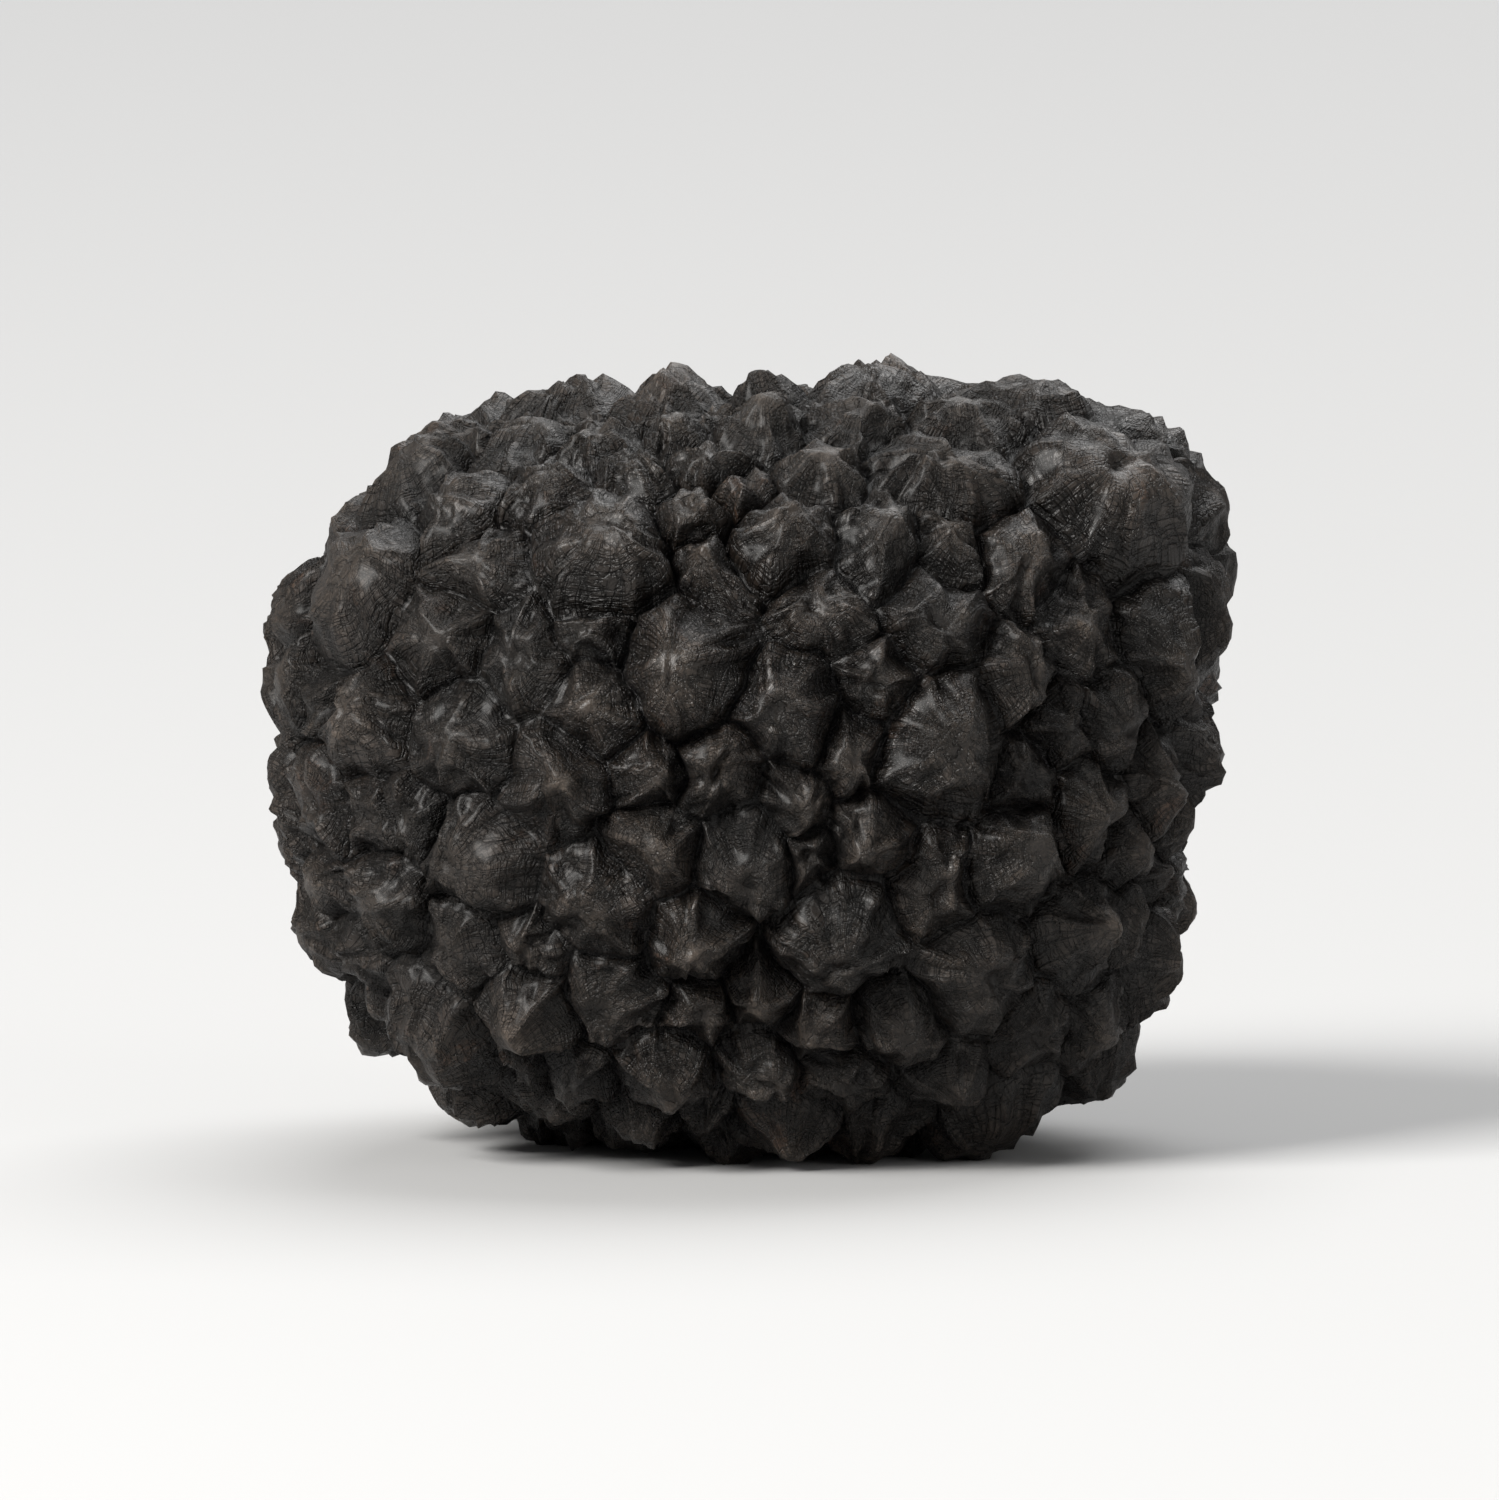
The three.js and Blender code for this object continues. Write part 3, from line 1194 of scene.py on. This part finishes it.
    def dress(
        self,
        mesh: bpy.types.Mesh,
        at: WartPlaces,
        fine: np.ndarray,
        keep: np.ndarray,
        loops: np.ndarray,
    ) -> None:
        """Stores what the finish reads on the mesh, and gives the mesh its finish.

        Args:
            mesh: the skin's mesh.
            at: the places of all the patches' points.
            fine: the height of the fine forms at each place.
            keep: which places are the mesh's points.
            loops: which place each corner of the mesh has.
        """
        tone = np.random.default_rng(self.tone_seed).uniform(0, 1, len(self.net.middles))
        round_wart = np.stack([np.cos(at.bearing), np.sin(at.bearing), at.inward], -1)
        Layer.UP.store(mesh, self.relief.profile(at).ravel()[keep])
        Layer.FINE.store(mesh, fine.ravel()[keep])
        Layer.ROUND_WART.store(mesh, round_wart.reshape(-1, 3)[loops])
        Layer.WART_TONE.store(mesh, tone[at.wart.ravel()[loops]])
        mesh.materials.append(self.finish.material())


@dataclass(frozen=True)
class Lamp:
    """A soft square light: where it stands from the truffle's middle, its size and its power."""

    name: str
    at: tuple[float, float, float]
    size: float
    watts: float
    colour: tuple[float, float, float]

    def build(self, middle: Vector) -> None:
        """Adds the light to the scene, facing the truffle.

        Args:
            middle: the truffle's middle.
        """
        data = bpy.data.lights.new(self.name, "AREA")
        data.shape = "SQUARE"
        data.size = self.size
        data.energy = self.watts
        data.color = self.colour
        lamp = bpy.data.objects.new(self.name, data)
        lamp.location = middle + Vector(self.at)
        lamp.rotation_euler = (-Vector(self.at)).to_track_quat("-Z", "Y").to_euler()
        bpy.context.scene.collection.objects.link(lamp)


@dataclass
class Studio:
    """A pale floor, soft lights and the camera, all apart from the truffle.

    Lengths are in metres, and the camera's elevation is in degrees. The span is how much of the
    truffle's plane fills the picture's width.
    """

    distance: float = 0.75
    elevation: float = 5.5
    span: float = 0.043
    sensor: float = 36.0
    clip_end: float = 20.0
    floor_radius: float = 6.0
    floor_sides: int = 96
    floor_colour: Colour = (0.38, 0.38, 0.38, 1)
    floor_roughness: float = 0.8
    world_strength: float = 0.25
    lamps: tuple[Lamp, ...] = (
        Lamp("key_light", (-0.50, -0.42, 0.50), 0.36, 14.5, (1.0, 0.985, 0.96)),
        Lamp("fill_light", (0.60, -0.50, 0.25), 0.5, 1.4, (1.0, 0.99, 0.97)),
        Lamp("top_light", (0.25, 0.7, 1.1), 1.1, 20.0, (1.0, 1.0, 1.0)),
    )

    def build(self, low: Vector, high: Vector) -> None:
        """Makes the floor, the world, the lamps and the camera.

        Args:
            low: the truffle's lowest corner.
            high: its highest corner.
        """
        bpy.context.scene.view_settings.view_transform = "Standard"
        middle = (Vector(low) + Vector(high)) / 2
        self.build_floor()
        self.build_world()
        for lamp in self.lamps:
            lamp.build(middle)
        self.build_camera(middle)

    def build_floor(self) -> None:
        """A flat round floor at the height that the truffle rests on."""
        turn = np.linspace(0, math.tau, self.floor_sides, endpoint=False)
        rim = np.column_stack([np.cos(turn), np.sin(turn), np.zeros(self.floor_sides)])
        mesh = bpy.data.meshes.new("floor")
        mesh.from_pydata(rim * self.floor_radius, [], [tuple(range(self.floor_sides))])
        floor = bpy.data.objects.new("floor", mesh)
        bpy.context.scene.collection.objects.link(floor)
        paint = Graph("floor_paint")
        paint.shader.inputs["Base Color"].default_value = self.floor_colour
        paint.shader.inputs["Roughness"].default_value = self.floor_roughness
        mesh.materials.append(paint.material)
        floor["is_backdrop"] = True

    def build_world(self) -> None:
        """An even white light from all round."""
        world = bpy.data.worlds.new("studio")
        world.use_nodes = True
        background = world.node_tree.nodes["Background"]
        background.inputs["Color"].default_value = WHITE
        background.inputs["Strength"].default_value = self.world_strength
        bpy.context.scene.world = world

    def build_camera(self, middle: Vector) -> None:
        """A long lens, a little above level, with the span filling the picture's width.

        Args:
            middle: the truffle's middle, which the camera looks at.
        """
        data = bpy.data.cameras.new("camera")
        camera = bpy.data.objects.new("camera", data)
        bpy.context.scene.collection.objects.link(camera)
        angle = math.radians(self.elevation)
        back = Vector((0, -math.cos(angle), math.sin(angle)))
        camera.location = middle + back * self.distance
        camera.rotation_euler = (-back).to_track_quat("-Z", "Y").to_euler()
        data.sensor_width = self.sensor
        data.lens = self.sensor * self.distance / self.span
        data.clip_end = self.clip_end
        bpy.context.scene.camera = camera


def main() -> None:
    """Builds the skin with its finish, then the studio."""
    logging.basicConfig(level=logging.INFO)
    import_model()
    low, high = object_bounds()
    body, net = TruffleBody(), WartNet()
    skin = TruffleSkin(body, net, WartRelief(net, body.wart_rise)).build(*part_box("truffle"))
    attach(skin, "root")
    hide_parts("truffle")
    log.info("truffle_rind: %d warts, %d triangles", len(net.middles), len(skin.data.polygons))
    Studio().build(low, high)
    log.info("studio: floor, lights and camera")


if __name__ == "__main__":
    main()
